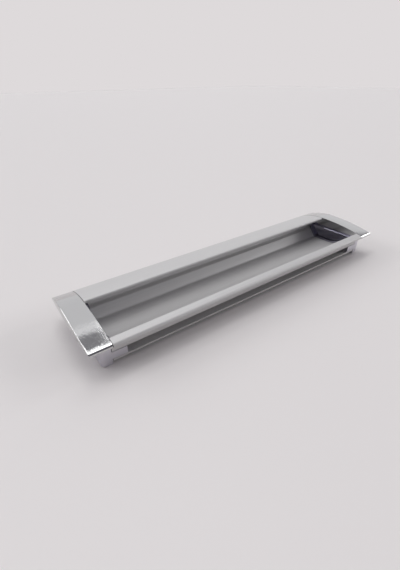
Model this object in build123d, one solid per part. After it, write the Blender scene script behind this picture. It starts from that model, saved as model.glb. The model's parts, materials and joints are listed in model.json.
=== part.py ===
from build123d import *
from math import acos, degrees, sqrt
import os

# Recessed pull handle, in millimetres.
# An extruded aluminium bowl with a broad finger lip, closed at each end by a plated cap.
# X runs along the handle, +Y points to the finger lip's side, +Z points out of the door.
# The origin is under the middle of the handle, on the plane that the caps' bodies stand on.

# ---- overall sizes ----
length = 173.0          # over the middle of both bowed ends
width = 44.8            # across the flange
body_depth = 11.0       # from the door's face down to the underside of the caps
crown_rise = 4.2        # crest of the arched flange above the door's face
near_rise = 1.1         # flange's edge by the narrow lip, above the door's face
far_rise = 0.45         # flange's edge behind the finger lip, above the door's face
near_edge_round = 1.1   # long edge by the narrow lip
far_edge_round = 0.6    # long edge behind the finger lip

# ---- extrusion ----
skin = 1.4              # thickness of the arched flange
wall = 1.0              # all other walls
near_lip = 3.7          # width of the narrow lip in front of the opening
opening = 24.3          # clear gap between the narrow lip and the finger lip
finger_reach = 7.8      # how far the bowl runs on behind the finger lip's edge
bowl_depth = 8.3        # from the door's face to the bowl's floor
sweep_radius = 19.2     # long curve from the floor up to the narrow lip
ledge_depth = 4.0       # from the door's face to the edge of the ledge behind the lip
ledge_width = 2.4       # ledge that the fingertips feel
ledge_rise = 0.8        # how much the ledge climbs towards the back wall
slope_run = 3.3         # the sloped wall between ledge and floor, measured across
front_overhang = 3.5    # from the flange's edge in to the front wall
front_wall_depth = 4.9  # from the door's face to the front wall's lower edge
nose_round = 0.65       # finger lip
edge_round = 0.25       # other exposed corners of the section
floor_round = 1.6       # foot of the sloped wall
pocket_round = 1.2      # corners behind the finger lip

# ---- end caps ----
cap_frame = 9.2         # length of each cap's flange
end_bow = 0.35          # how far the flange's end swells between its corners
cap_inset = 4.8         # from the flange's end in to the body's end wall
cap_skirt = 1.5         # rim under the flange
cap_end_round = 0.4     # arched end edge of the cap's flange
body_corner = 1.8       # upright corners of the cap's body
body_bottom_round = 0.9 # lower edges of the cap's body
seam = 0.1              # gap at every face between cap and extrusion
insert_length = 3.0     # how far the insert reaches into the bowl
insert_wall = 1.0       # thickness of the insert's rim
insert_drop = 1.5       # from the door's face to the insert's upper edge
insert_step = 0.4       # how far the insert stands in front of the flange's wall
insert_draft = 0.6      # further reach at its foot
insert_round = 0.3      # the insert's upper edge
tab_length = 6.3        # tongue that plugs into the extrusion's front channel
tab_depth = 3.2
core_wall = 1.2         # walls left around the cored-out slots
core_depth = 8.5

# ---- fixing ----
screw_inset = 6.5       # from each end of the handle in to its machine screw
screw_hole = 3.3        # tapping hole for M4
screw_depth = 8.0
boss = 5.4              # column around each screw hole

# ---- places worked out from the sizes ----
door = body_depth
half_length = length / 2
half_width = width / 2
crest_height = door + crown_rise
lip_edge = -half_width + near_lip
finger_edge = lip_edge + opening
pocket_back = finger_edge + finger_reach
front_face = -half_width + front_overhang
front_foot = door - front_wall_depth
back_face = pocket_back + wall
floor = door - bowl_depth
ledge_edge = door - ledge_depth
slope_top = pocket_back - ledge_width
slope_foot = slope_top - slope_run
high = crest_height + wall
profile_end = half_length - cap_frame - seam
screw_end = half_length - screw_inset
screw_line = (front_face + back_face) / 2


def arc_radius(span, fall):
    """Radius of the arc that starts level and falls this far over the span."""
    return (span ** 2 + fall ** 2) / (2 * fall)


# The arched flange is two arcs that meet level at a crest above the finger lip's edge.
near_radius = arc_radius(half_width + finger_edge, crown_rise - near_rise)
far_radius = arc_radius(half_width - finger_edge, crown_rise - far_rise)
long_edges = [
    (near_edge_round, [(-half_width, door + near_rise)]),
    (far_edge_round, [(half_width, door + far_rise)]),
]


def arch_height(y, inset=0):
    """Height of the flange's arched top at y, or of the curve that far inside it."""
    radius = near_radius if y < finger_edge else far_radius
    return crest_height - radius + sqrt((radius - inset) ** 2 - (y - finger_edge) ** 2)


def block(y0, y1, z0, z1):
    """Rectangle of the cross-section between two widths and two heights."""
    return Pos((y0 + y1) / 2, (z0 + z1) / 2) * Rectangle(y1 - y0, z1 - z0)


def under_arch(inset=0):
    """The section's area below the flange's arched top, or below the curve that far inside it."""
    near_disc = Pos(finger_edge, crest_height - near_radius) * Circle(near_radius - inset)
    far_disc = Pos(finger_edge, crest_height - far_radius) * Circle(far_radius - inset)
    near_side = block(-half_width, finger_edge, -high, high)
    far_side = block(finger_edge, half_width, -high, high)
    return (near_disc & near_side) + (far_disc & far_side)


def at_points(shape, points):
    """Corners of a flat shape that lie at the given points."""
    places = [Vector(*point) for point in points]
    return [v for v in shape.vertices() if any((place - Vector(v)).length < seam for place in places)]


def bowl_space(back, drop):
    """Open space of the bowl; back is its rearmost wall and drop the point where that meets the slope."""
    lip_height = arch_height(lip_edge)
    sweep = degrees(acos(1 - (lip_height - floor) / sweep_radius))
    sweep_start = lip_edge + sqrt(sweep_radius ** 2 - (sweep_radius - lip_height + floor) ** 2)
    with BuildLine() as outline:
        curve = JernArc((sweep_start, floor), (-1, 0), sweep_radius, -sweep)
        Polyline(curve @ 1, (lip_edge, high), (back, high), drop, (slope_top, ledge_edge),
                 (slope_foot, floor), (sweep_start, floor))
    space = make_face(outline.edges())
    return fillet(at_points(space, [(slope_foot, floor)]), floor_round)


def rounded(section, rounds):
    """Section with the corners at each list of points rounded by the radius given with it."""
    for radius, points in rounds:
        section = fillet(at_points(section, points), radius)
    return section


def along(face, start, end):
    """Cross-section pushed along X from start to end."""
    return extrude(Plane.YZ.offset(start) * face, end - start)


def profile_section():
    """The extrusion's section: arched flange, bowl, narrow lip and the channel under it."""
    space = bowl_space(pocket_back, (pocket_back, ledge_edge + ledge_rise))
    shell = offset(space, wall, kind=Kind.INTERSECTION) & under_arch()
    lip = block(-half_width, lip_edge + wall, door, high) & under_arch()
    front_wall = block(front_face, front_face + wall, front_foot, door + wall)
    plate = block(front_face, slope_foot, floor - wall, floor)
    flange = (under_arch() - under_arch(skin)) & block(finger_edge, half_width, door, high)
    section = shell + lip + front_wall + plate - space + flange
    pocket_top = arch_height(pocket_back, skin)
    return rounded(section, long_edges + [
        (nose_round, [(finger_edge, crest_height), (finger_edge, crest_height - skin)]),
        (edge_round, [(lip_edge, arch_height(lip_edge)), (front_face, floor - wall)]),
        (edge_round, [(front_face, front_foot), (front_face + wall, front_foot)]),
        (pocket_round, [(pocket_back, ledge_edge + ledge_rise), (pocket_back, pocket_top)]),
    ])


def profile():
    """Extruded aluminium, sawn square between the two caps."""
    return along(profile_section(), -profile_end, profile_end)


def cap_flange():
    """Arched flange of the cap, hollow underneath, with a rim that sits on the door."""
    outline = rounded(under_arch() & block(-half_width, half_width, door, high), long_edges)
    bow_radius = arc_radius(half_width, end_bow)
    bow = extrude(Pos(bow_radius - half_length, 0) * Circle(bow_radius), high)
    plate = along(outline, -half_length, -half_length + cap_frame) & bow
    end_face = plate.faces().sort_by(Axis.X)[0]
    plate = fillet(end_face.edges().sort_by(Axis.Z)[1:], cap_end_round)
    inner = under_arch(skin) & block(-half_width + cap_skirt, half_width - cap_skirt, door - wall, high)
    return plate - along(inner, -half_length + cap_skirt, -half_length + cap_frame + wall)


def cap_body():
    """Block under the flange that closes the end of the extrusion, cored out from below."""
    start, end = -half_length + cap_inset, -half_length + cap_frame
    outline = under_arch(skin / 2) & block(front_face, back_face, 0, high)
    body = along(outline, start, end)
    corners = body.faces().sort_by(Axis.X)[0].edges().filter_by(Axis.Z)
    body = fillet(corners, body_corner)
    bottom = body.faces().sort_by(Axis.Z)[0].edges().filter_by(lambda edge: edge.center().X < end - seam)
    body = fillet(bottom, body_bottom_round)
    screw = Pos(-screw_end, screw_line, 0)
    column = extrude(screw * Circle(boss / 2), door + wall)
    near_core = (front_face + core_wall, screw_line - boss / 2)
    far_core = (screw_line + boss / 2, back_face - core_wall)
    cores = Part()
    for y0, y1 in (near_core, far_core):
        slot = SlotOverall(y1 - y0, end - start - 2 * core_wall, rotation=90)
        cores += extrude(Pos((start + end) / 2, (y0 + y1) / 2) * slot, core_depth)
    hole = extrude(screw * Circle(screw_hole / 2), screw_depth)
    return body - cores + column - hole


def insert_shape(inset):
    """Section of the cap's insert: the bowl's own curve, drawn in by the inset, without the pocket."""
    back = pocket_back - seam
    space = offset(bowl_space(back, (back, door)), -inset)
    return space & block(-half_width, half_width, 0, door + wall)


def cap_insert():
    """Plated end wall of the bowl with a shallow rim that nests against the bowl's surface."""
    start = -half_length + cap_frame
    top = door - insert_drop
    below = block(-half_width, half_width, 0, top)
    plug = along(insert_shape(seam) & below, start, start + insert_length)
    face_top = start + insert_step
    face_foot = face_top + insert_draft
    beyond = start + insert_length + wall
    with BuildLine(Plane.XZ) as slope:
        Polyline((face_top, top + wall), (face_top, top), (face_foot, floor),
                 (beyond, floor), (beyond, top + wall), close=True)
    scoop = extrude(make_face(slope.edges()), width, both=True)
    scoop &= along(insert_shape(seam + insert_wall), start, beyond)
    insert = plug - scoop
    corner = Vector(face_top, 0, top)
    upper_edge = [edge for edge in insert.edges().filter_by(Axis.Y)
                  if (Vector(edge.center().X, 0, edge.center().Z) - corner).length < seam]
    return fillet(upper_edge, insert_round)


def cap_tab():
    """Tongue that plugs into the channel in front of the bowl."""
    start = -half_length + cap_frame
    tongue = block(front_face, front_face + tab_depth, floor + seam, front_foot - seam)
    return along(tongue, start, start + tab_length)


def left_cap():
    """Die-cast cap at the -X end."""
    return cap_flange() + cap_body() + cap_insert() + cap_tab()


parts = {"profile": profile(), "left_cap": left_cap()}
parts["right_cap"] = mirror(parts["left_cap"], Plane.YZ)

os.makedirs("parts", exist_ok=True)
for name, solid in parts.items():
    export_step(solid, f"parts/{name}.step")
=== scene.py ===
# %% [markdown]
# # A recessed pull handle, dressed for the studio
# The real handle is pushed into a slot milled in a cabinet door, so that only a low arched
# flange stands proud. It comes apart into three pieces: a length of extruded aluminium, which is
# the bowl that the fingers reach into, and two die-cast, chromed caps that close its ends.
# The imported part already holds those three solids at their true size. This lesson gives them
# what a solid lacks: softened edges, smooth curves, a finish for each metal, and light.

import json
import math

import bmesh
import bpy
from mathutils import Matrix, Vector

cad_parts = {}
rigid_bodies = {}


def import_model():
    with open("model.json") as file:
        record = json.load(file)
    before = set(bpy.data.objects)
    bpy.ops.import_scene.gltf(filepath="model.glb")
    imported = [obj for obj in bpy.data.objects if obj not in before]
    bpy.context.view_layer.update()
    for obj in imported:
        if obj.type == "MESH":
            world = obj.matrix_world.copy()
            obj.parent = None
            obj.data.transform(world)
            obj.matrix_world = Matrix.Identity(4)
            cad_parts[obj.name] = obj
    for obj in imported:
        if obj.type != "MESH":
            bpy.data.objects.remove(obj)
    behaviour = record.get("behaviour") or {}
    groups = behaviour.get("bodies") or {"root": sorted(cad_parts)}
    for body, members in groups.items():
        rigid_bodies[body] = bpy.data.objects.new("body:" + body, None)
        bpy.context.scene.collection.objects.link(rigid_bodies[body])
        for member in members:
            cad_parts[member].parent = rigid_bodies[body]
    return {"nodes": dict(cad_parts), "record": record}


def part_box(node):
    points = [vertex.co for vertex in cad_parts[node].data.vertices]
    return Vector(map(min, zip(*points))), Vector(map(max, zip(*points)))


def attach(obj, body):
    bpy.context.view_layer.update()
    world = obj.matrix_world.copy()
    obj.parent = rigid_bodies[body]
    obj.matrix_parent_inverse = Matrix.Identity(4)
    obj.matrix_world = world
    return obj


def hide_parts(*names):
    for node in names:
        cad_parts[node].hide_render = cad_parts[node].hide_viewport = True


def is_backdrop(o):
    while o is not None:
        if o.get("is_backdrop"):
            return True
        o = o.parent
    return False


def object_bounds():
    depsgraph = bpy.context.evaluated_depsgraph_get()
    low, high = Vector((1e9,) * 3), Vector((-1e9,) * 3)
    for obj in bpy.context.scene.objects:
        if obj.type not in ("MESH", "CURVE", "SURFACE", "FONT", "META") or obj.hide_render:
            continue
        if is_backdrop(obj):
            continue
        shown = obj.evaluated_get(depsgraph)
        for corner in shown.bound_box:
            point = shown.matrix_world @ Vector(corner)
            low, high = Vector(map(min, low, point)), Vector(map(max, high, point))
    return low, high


for leftover in list(bpy.data.objects):
    bpy.data.objects.remove(leftover)
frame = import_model()
cad_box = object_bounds()
MM = 0.001
low, high = cad_box
print("CAD box in mm:", [round(side / MM, 1) for side in high - low])

# %% [markdown]
# ## Edges and curves
# Every edge of a real extrusion or casting is a little rounded, and that thin rounding is what
# catches the light. A solid from CAD has dead sharp edges and is cut into loose triangles, so
# each piece starts as a copy: its doubled points are merged, triangles that lie in one plane
# become one face, and a Bevel modifier then runs a narrow rounding along every hard edge.
# A modifier was chosen over a bevelled look in the material because the mesh itself then keeps it.

# %% How alike points and faces must be
WELD = 0.001 * MM
FLAT = math.radians(0.5)
SMOOTH_BELOW = math.radians(35)
print("points closer than", round(WELD / MM, 3), "mm become one")


# %% Merge a node's triangles into clean faces
def merged_mesh(node, name):
    """Mesh of a CAD node with its points welded and its flat triangles joined."""
    shape = bmesh.new()
    shape.from_mesh(frame["nodes"][node].data)
    bmesh.ops.remove_doubles(shape, verts=shape.verts, dist=WELD)
    bmesh.ops.dissolve_limit(shape, angle_limit=FLAT, verts=shape.verts, edges=shape.edges)
    mesh = bpy.data.meshes.new(name)
    shape.to_mesh(mesh)
    shape.free()
    mesh.shade_smooth()
    mesh.set_sharp_from_angle(angle=SMOOTH_BELOW)
    return mesh


# %% Which edges count as hard
HARD_EDGE = math.radians(28)
EDGE_SEGMENTS = 2
print("an edge that turns more than", round(math.degrees(HARD_EDGE)), "degrees is rounded")


# %% Round the hard edges
def soften(node, name, edge_width):
    """Copy of a CAD node with rounded edges and smooth curves, which stands for the node."""
    mesh = merged_mesh(node, name)
    piece = bpy.data.objects.new(name, mesh)
    bpy.context.scene.collection.objects.link(piece)
    rounding = piece.modifiers.new("rounded edges", "BEVEL")
    rounding.width = edge_width
    rounding.segments = EDGE_SEGMENTS
    rounding.limit_method = "ANGLE"
    rounding.angle_limit = HARD_EDGE
    rounding.harden_normals = True
    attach(piece, "root")
    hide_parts(node)
    print(name, "has", len(mesh.polygons), "faces before its edges are rounded")
    return piece


# %% [markdown]
# The sawn and etched extrusion keeps crisper edges than the caps, whose edges were tumbled and
# polished before plating. Neither width is more than the 0.1 mm gap between the pieces, so the
# joint between bowl and cap stays a fine dark line.

# %% The three pieces
sawn_edge = 0.08 * MM
polished_edge = 0.1 * MM
extrusion = soften("profile", "extrusion", sawn_edge)
caps = [soften(f"{side}_cap", f"chromed_{side}_cap", polished_edge)
        for side in ("left", "right")]

# %% [markdown]
# ## Colours and nodes
# Hex codes are how a finisher notes a colour, but Blender mixes light in linear numbers, so one
# function turns the code into those. A second small function adds any node, sets it up and
# links it, which keeps each material readable as a list.


# %% A hex code as linear light
def linear(code):
    """Linear red, green, blue and alpha of an sRGB hex colour."""
    shares = [int(code[i:i + 2], 16) / 255 for i in (1, 3, 5)]
    return [s / 12.92 if s <= 0.04045 else ((s + 0.055) / 1.055) ** 2.4 for s in shares] + [1]


print("middle grey #808080 reflects", round(linear("#808080")[0], 2), "of the light")


# %% One function for any node
def add(tree, kind, settings=None, sockets=None):
    """Adds a node; a socket gets a value, another node's output, or a node's first output."""
    node = tree.nodes.new(kind)
    for name, value in (settings or {}).items():
        setattr(node, name, value)
    for name, value in (sockets or {}).items():
        if isinstance(value, bpy.types.Node):
            value = value.outputs[0]
        if isinstance(value, bpy.types.NodeSocket):
            tree.links.new(value, node.inputs[name])
        else:
            node.inputs[name].default_value = value
    return node


# %% An empty material
def new_material(name):
    """Empty material and its node tree."""
    material = bpy.data.materials.new(name)
    material.use_nodes = True
    material.node_tree.nodes.clear()
    return material, material.node_tree


# %% Settings for a soft step
SOFT_STEP = {"interpolation_type": "SMOOTHSTEP"}
print("a Map Range node with", SOFT_STEP, "climbs from 0 to 1 without a corner")


# %% [markdown]
# ## Satin anodised aluminium
# The bowl is etched matt in caustic soda and then clear anodised. Its sheen is broad and even,
# with no mirror image in it. The die leaves faint lines along the whole length, drawn
# here as marks 60 mm long and half a millimetre wide. The etch leaves a grain about as fine as
# flour, drawn a few times coarser than it is, or it would not show. The oxide skin scatters
# a little light by itself, as paint does, so a quarter of the surface isn't metallic. To the eye
# it is an even, soft grey that keeps its tone from every side. Painted shade darkens the hairline
# joint at each sawn end, where the gap between bowl and cap lies in shadow.

# %% Sizes on the aluminium
die_lines = (60 * MM, 0.5 * MM, 0.5 * MM)
etch_grain = 0.12 * MM
etch_depth = 0.002 * MM
print("die lines are", round(die_lines[0] / die_lines[1]), "times as long as they are wide")


# %% Die lines and etched grain
def aluminium_texture(tree, place):
    """Die lines, etched grain, and the relief that the two give together."""
    along = add(tree, "ShaderNodeMapping", None,
                {"Vector": place, "Scale": [1 / side for side in die_lines]})
    lines = add(tree, "ShaderNodeTexNoise", None, {"Vector": along, "Scale": 1, "Detail": 3})
    grain = add(tree, "ShaderNodeTexNoise", None,
                {"Vector": place, "Scale": 1 / etch_grain, "Detail": 2})
    line_relief = add(tree, "ShaderNodeBump", None,
                      {"Height": lines, "Strength": 1, "Distance": etch_depth})
    relief = add(tree, "ShaderNodeBump", None,
                 {"Height": grain, "Strength": 1, "Distance": etch_depth, "Normal": line_relief})
    return lines, grain, relief


# %% Where the painted joint shade sits
# painted shade: how far before each sawn end the aluminium starts to darken
sawn_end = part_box("profile")[1].x
joint_shade_starts = 0.25 * MM
joint_shade_full = 0.05 * MM
print("grime starts", round(joint_shade_starts / MM, 2), "mm before each sawn end")


# %% Colour of the aluminium
def aluminium_colour(tree, place, lines):
    """Even grey, a shade lighter on some die lines, with painted shade in the joints at the sawn ends."""
    noise_low, noise_high = 0.3, 0.7
    tone = add(tree, "ShaderNodeMapRange", None,
               {"Value": lines, "From Min": noise_low, "From Max": noise_high})
    unshaded = add(tree, "ShaderNodeMix", {"data_type": "RGBA"},
                {0: tone, 6: linear("#CECDCD"), 7: linear("#D2D1D1")})
    from_middle = add(tree, "ShaderNodeMath", {"operation": "ABSOLUTE"},
                      {0: add(tree, "ShaderNodeSeparateXYZ", None, {0: place}).outputs["X"]})
    # painted shade: the aluminium darkens towards each sawn end, where the joint to the cap is shaded
    joint = add(tree, "ShaderNodeMapRange", SOFT_STEP,
                {"Value": from_middle, "From Min": sawn_end - joint_shade_starts,
                 "From Max": sawn_end - joint_shade_full})
    with_joint_shade = add(tree, "ShaderNodeMix", {"data_type": "RGBA"},
                 {0: joint, 6: unshaded.outputs[2], 7: linear("#5A5858")})
    return with_joint_shade.outputs[2]


# %% How matt the aluminium is
satin_roughness = (0.57, 0.67)
bare_metal_share = 0.75
print("the oxide scatters", 1 - bare_metal_share, "of the light")


# %% Make the aluminium
def anodised_aluminium():
    """Etched and clear anodised aluminium: it glows softly and never mirrors."""
    material, tree = new_material("satin anodised aluminium")
    place = add(tree, "ShaderNodeTexCoord").outputs["Object"]
    lines, grain, relief = aluminium_texture(tree, place)
    gloss = add(tree, "ShaderNodeMapRange", None,
                {"Value": grain, "To Min": satin_roughness[0], "To Max": satin_roughness[1]})
    surface = add(tree, "ShaderNodeBsdfPrincipled", None,
                  {"Base Color": aluminium_colour(tree, place, lines),
                   "Metallic": bare_metal_share, "Roughness": gloss, "Normal": relief})
    add(tree, "ShaderNodeOutputMaterial", None, {"Surface": surface})
    return material


aluminium = anodised_aluminium()
print(aluminium.name, "uses", len(aluminium.node_tree.nodes), "nodes")

# %% [markdown]
# ## Bright chrome
# The caps are cast in zinc, polished where they show and chromed. A polishing wheel leaves short
# faint marks across the flange, and the casting swells slightly under the plating, which gives
# every reflection a ragged, wandering edge. Both are drawn several times coarser and deeper than
# they are, or they would not show. What sinks into the door, the body and its tongue, is plated
# straight over the tumbled casting to save work, so it is duller; its colour is painted lighter and
# a touch lilac, a painted reflection of the room. Inside the bowl the chrome is painted darker, as
# painted shade in the recess.
# Where a point lies on the cap tells these zones apart, so one material serves the whole cap.

# %% Sizes on the chrome
wheel_marks = (0.35 * MM, 1.6 * MM, 1.6 * MM)
mark_depth = 0.025 * MM
casting_swell = 3 * MM
swell_depth = 0.025 * MM
print("wheel marks are", round(wheel_marks[1] / wheel_marks[0], 1), "times longer than wide")


# %% Wheel marks and the swell of the casting
def chrome_texture(tree, place):
    """Wheel marks, and the relief that they give together with the casting's swell."""
    across = add(tree, "ShaderNodeMapping", None,
                 {"Vector": place, "Scale": [1 / side for side in wheel_marks]})
    marks = add(tree, "ShaderNodeTexNoise", None, {"Vector": across, "Scale": 1, "Detail": 2})
    swell = add(tree, "ShaderNodeTexNoise", None,
                {"Vector": place, "Scale": 1 / casting_swell, "Detail": 1})
    mark_relief = add(tree, "ShaderNodeBump", None,
                      {"Height": marks, "Strength": 1, "Distance": mark_depth})
    relief = add(tree, "ShaderNodeBump", None,
                 {"Height": swell, "Strength": 1, "Distance": swell_depth, "Normal": mark_relief})
    return marks, relief


# %% Where the zones of a cap meet
mount_places = {mount["name"]: mount["pos_m"] for mount in frame["record"]["mounts"]}
door_face = mount_places["door_face"][2]
joint_gap = 0.1 * MM
bowl_end = sawn_end + joint_gap
tongue_back = -15.2 * MM  # the tongue lies in front of this line
zone_blend = 0.3 * MM
print("the polish ends", round(door_face / MM), "mm above the foot of the caps")


# %% Tell the zones of a cap apart
def cap_zones(tree, place):
    """Two nodes: the first is 1 on the body and the tongue, the second is 1 inside the bowl."""
    spot = add(tree, "ShaderNodeSeparateXYZ", None, {0: place}).outputs
    from_middle = add(tree, "ShaderNodeMath", {"operation": "ABSOLUTE"}, {0: spot["X"]})
    polish_end = door_face - joint_gap
    sunk = add(tree, "ShaderNodeMapRange", SOFT_STEP,
               {"Value": spot["Z"], "From Min": polish_end, "From Max": polish_end - zone_blend})
    beyond = add(tree, "ShaderNodeMapRange", SOFT_STEP,
                 {"Value": from_middle, "From Min": bowl_end, "From Max": bowl_end + 2 * joint_gap})
    forward = add(tree, "ShaderNodeMapRange", SOFT_STEP,
                  {"Value": spot["Y"], "From Min": tongue_back,
                   "From Max": tongue_back - zone_blend})
    outside = add(tree, "ShaderNodeMath", {"operation": "MAXIMUM"}, {0: beyond, 1: forward})
    hidden = add(tree, "ShaderNodeMath", {"operation": "MULTIPLY"}, {0: sunk, 1: outside})
    # painted shade mask: 1 on the chrome inside the bowl
    painted_recess_shade = add(tree, "ShaderNodeMath", {"operation": "SUBTRACT"}, {0: sunk, 1: hidden})
    return hidden, painted_recess_shade


# %% Colour of the chrome
def chrome_colour(tree, hidden, painted_recess_shade):
    """Neutral on the flange, a lighter lilac painted reflection where hidden, painted shade in the bowl."""
    # painted reflection: the hidden body and tongue are coloured lighter and lilac
    outer = add(tree, "ShaderNodeMix", {"data_type": "RGBA"},
                {0: hidden, 6: linear("#C8C8C8"), 7: linear("#D6D4DB")})
    # painted shade: the chrome inside the bowl is coloured darker
    whole = add(tree, "ShaderNodeMix", {"data_type": "RGBA"},
                {0: painted_recess_shade, 6: outer.outputs[2], 7: linear("#9A98A5")})
    return whole.outputs[2]


# %% How glossy the chrome is
mirror_roughness = (0.05, 0.14)
extra_where_hidden = 0.3
print("hidden chrome is", extra_where_hidden, "rougher than the polished flange")


# %% Make the chrome
def bright_chrome():
    """Chrome on die-cast zinc: a neutral mirror on the flange and a duller skin in the door."""
    material, tree = new_material("bright chrome on die-cast zinc")
    place = add(tree, "ShaderNodeTexCoord").outputs["Object"]
    marks, relief = chrome_texture(tree, place)
    gloss = add(tree, "ShaderNodeMapRange", None,
                {"Value": marks, "To Min": mirror_roughness[0], "To Max": mirror_roughness[1]})
    hidden, painted_recess_shade = cap_zones(tree, place)
    roughness = add(tree, "ShaderNodeMath", {"operation": "MULTIPLY_ADD"},
                    {0: hidden, 1: extra_where_hidden, 2: gloss})
    surface = add(tree, "ShaderNodeBsdfPrincipled", None,
                  {"Base Color": chrome_colour(tree, hidden, painted_recess_shade), "Metallic": 1,
                   "Roughness": roughness, "Normal": relief})
    add(tree, "ShaderNodeOutputMaterial", None, {"Surface": surface})
    return material


chrome = bright_chrome()
print(chrome.name, "uses", len(chrome.node_tree.nodes), "nodes")

# %% [markdown]
# Both finishes also go on the plain solids that the pieces stand for, so the part looks
# right wherever those are shown instead.

# %% Give each piece its finish
extrusion.data.materials.append(aluminium)
for cap in caps:
    cap.data.materials.append(chrome)
for node in frame["nodes"].values():
    node.material_slots[0].material = aluminium if node.name == "profile" else chrome
print("finishes given to", len(frame["nodes"]), "solids and", 1 + len(caps), "pieces")

# %% [markdown]
# ## The table
# The handle lies on a pale satin laminate, faintly warm, which keeps its soft shadow. One large
# square is enough, because nothing on it is seen from close by.


# %% Lay the table
def table(side, colour, roughness):
    """Level square of satin laminate at the height on which the handle stands."""
    shape = bmesh.new()
    bmesh.ops.create_grid(shape, x_segments=1, y_segments=1, size=side / 2)
    mesh = bpy.data.meshes.new("table")
    shape.to_mesh(mesh)
    shape.free()
    top = bpy.data.objects.new("table", mesh)
    bpy.context.scene.collection.objects.link(top)
    material, tree = new_material("pale satin laminate")
    surface = add(tree, "ShaderNodeBsdfPrincipled", None,
                  {"Base Color": linear(colour), "Roughness": roughness})
    add(tree, "ShaderNodeOutputMaterial", None, {"Surface": surface})
    mesh.materials.append(material)
    top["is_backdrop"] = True
    return top


top = table(side=6, colour="#EDE9E8", roughness=0.55)
print("the table is", round(top.dimensions.x, 1), "m wide")

# %% [markdown]
# ## Light
# Chrome is only as good as the room it mirrors. A product studio hangs white panels around a
# dark space, and the same is done here on the world itself: each panel is a soft-edged patch of
# sky. Two angles place it. The first runs round the handle's length, from the horizon
# behind it at 0, over the top at 90, to the horizon in front at 180. The second runs
# towards the right end when positive and the left end when negative. Panels on the sky were
# chosen over lamps because they have no size or distance to mind, and light the table evenly.

# %% Softness of a panel's edge
SOFT = 1.5
print("a panel's edge fades over", 2 * SOFT, "degrees")


# %% A span between two angles
def between(tree, angle, start, end):
    """Node that is 1 where the angle lies between start and end, and 0 elsewhere."""
    slopes = []
    for dark_side, bright_side in ((start - SOFT, start + SOFT), (end + SOFT, end - SOFT)):
        slopes.append(add(tree, "ShaderNodeMapRange", SOFT_STEP,
                          {"Value": angle, "From Min": math.radians(dark_side),
                           "From Max": math.radians(bright_side)}))
    return add(tree, "ShaderNodeMath", {"operation": "MULTIPLY"}, {0: slopes[0], 1: slopes[1]})


# %% Add up the panels
def glow(tree, direction, panels):
    """Node with the summed brightness of the panels in every direction."""
    around = add(tree, "ShaderNodeMath", {"operation": "ARCTAN2"},
                 {0: direction["Z"], 1: direction["Y"]})
    sideways = add(tree, "ShaderNodeMath", {"operation": "ARCSINE"}, {0: direction["X"]})
    total = 0
    for start, end, left, right, brightness in panels.values():
        panel = add(tree, "ShaderNodeMath", {"operation": "MULTIPLY"},
                    {0: between(tree, around, start, end), 1: between(tree, sideways, left, right)})
        total = add(tree, "ShaderNodeMath", {"operation": "MULTIPLY_ADD"},
                    {0: panel, 1: brightness, 2: total})
    return total


# %% [markdown]
# The wide back wall shows in both caps as an even pale grey. The darker gap over it gives the
# band near the front edge of the left cap, and the panel overhead gives the bright line in front
# of that band. The other panels shape the bowl from the left, from above and from the right, and
# the weak front panel keeps the channel from going black.

# %% The panels: from and to round the length, from and to sideways, brightness
panels = {
    "back wall": (-5, 56, -20, 95, 0.9),
    "upper back": (51, 65, 13, 38, 2.4),
    "upper right": (56, 61.5, 45, 75, 0.9),
    "right gap": (61.5, 99, 45, 75, 0.36),
    "gap": (50, 65, -17, 16, 0.26),
    "overhead": (67, 95, -4, 20, 4.0),
    "overhead right": (100, 112, 56, 74, 14),
    "key": (61, 75, -29, -6, 5.3),
    "left": (31, 57, -60, -40, 5.2),
    "left back": (20, 38, -46, -20, 4.8),
    "front": (97, 178, -75, 75, 0.08),
    "right front": (130, 154, 44, 64, 6.6),
}
print(len(panels), "panels of light")

# %% Light the world with them
world = bpy.data.worlds.new("studio")
bpy.context.scene.world = world
world.use_nodes = True
sky = world.node_tree
sky.nodes.clear()
compass = add(sky, "ShaderNodeTexCoord").outputs["Generated"]
direction = add(sky, "ShaderNodeSeparateXYZ", None, {0: compass}).outputs
lit = add(sky, "ShaderNodeBackground", None, {"Strength": glow(sky, direction, panels)})
print("the sky uses", len(sky.nodes), "nodes so far")

# %% Keep a little light in the dark room
darkness = 0.105
dark = add(sky, "ShaderNodeBackground", None, {"Color": linear("#F0EBFF"), "Strength": darkness})
room = add(sky, "ShaderNodeAddShader", None, {0: dark, 1: lit})
print("the room between the panels keeps", darkness, "of a white wall's light")

# %% [markdown]
# ## Backdrop
# Behind the table stands a low pale backdrop in the table's own tone, so the horizon
# disappears. The camera sees that tone in every direction of the sky. The metal mirrors it
# too, along the horizon where it stands, and above it mirrors the panels.

# %% Size the backdrop
backdrop_top = math.radians(10)
backdrop_fade = math.radians(2)
near_horizon = add(sky, "ShaderNodeMapRange", SOFT_STEP,
                   {"Value": direction["Z"], "From Min": math.sin(backdrop_top),
                    "From Max": math.sin(backdrop_top - backdrop_fade)})
print("metal mirrors the backdrop up to", round(math.degrees(backdrop_top)), "degrees of height")

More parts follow.
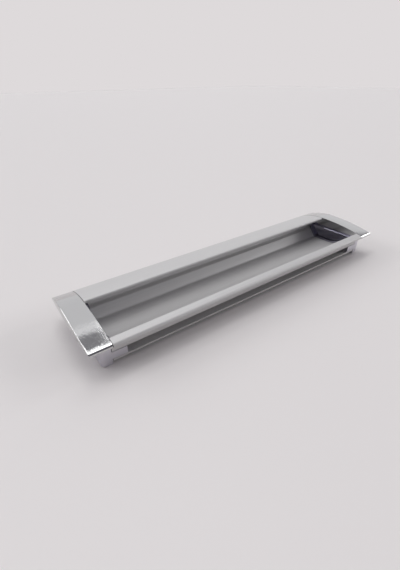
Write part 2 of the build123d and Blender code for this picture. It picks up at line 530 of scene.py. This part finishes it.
# %% Hang the backdrop
backdrop = add(sky, "ShaderNodeBackground", None, {"Color": linear("#DEDADB"), "Strength": 1})
ray = add(sky, "ShaderNodeLightPath").outputs
mirrored = add(sky, "ShaderNodeMath", {"operation": "MAXIMUM"},
               {0: ray["Is Glossy Ray"], 1: ray["Is Transmission Ray"]})
reflected = add(sky, "ShaderNodeMath", {"operation": "MULTIPLY"}, {0: mirrored, 1: near_horizon})
shown = add(sky, "ShaderNodeMath", {"operation": "MAXIMUM"},
            {0: ray["Is Camera Ray"], 1: reflected})
seen = add(sky, "ShaderNodeMixShader", None, {0: shown, 1: room, 2: backdrop})
add(sky, "ShaderNodeOutputWorld", None, {"Surface": seen})
print("the finished sky uses", len(sky.nodes), "nodes")

# %% [markdown]
# ## Camera
# The camera stands close, above and just beyond the left front corner, so the far end looks
# much smaller than the near one. It is placed from the point that it looks at: turned to its
# heading, tilted down, rolled a hair, and then drawn back along its own line of sight.

# %% Choose the lens
lens = bpy.data.cameras.new("camera")
lens.lens = 20.955
lens.sensor_width = 36
lens.clip_start = 1 * MM
print("the lens takes in", round(math.degrees(lens.angle)), "degrees")

# %% Place the camera
aim = Vector((-28.3, -7.0, 11.0)) * MM
distance = 151.8 * MM
heading, tilt, roll = math.radians(35.82), math.radians(32.10), math.radians(-0.54)
camera = bpy.data.objects.new("camera", lens)
turn = (Matrix.Rotation(-heading, 4, "Z") @ Matrix.Rotation(math.pi / 2 - tilt, 4, "X")
        @ Matrix.Rotation(roll, 4, "Z"))
camera.matrix_world = Matrix.Translation(aim) @ turn @ Matrix.Translation((0, 0, distance))
bpy.context.scene.collection.objects.link(camera)
bpy.context.scene.camera = camera
print("camera at", [round(x / MM, 1) for x in camera.matrix_world.translation], "mm")

# %% [markdown]
# ## Colours as written, and the sizes
# The Standard view keeps greys neutral and as bright as they were written. The box round the
# dressed part is noted beside the box round the solids: the first has to stay within the
# second, because the solids are what the door is milled for.

# %% Note the sizes and finish
bpy.context.scene.view_settings.view_transform = "Standard"
boxes = {"cad": [list(corner) for corner in cad_box], "visual": [list(corner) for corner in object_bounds()]}
differences = [abs(a - b) for corners in zip(boxes["cad"], boxes["visual"])
               for a, b in zip(*corners)]
print("largest difference in mm:", round(max(differences) / MM, 3))
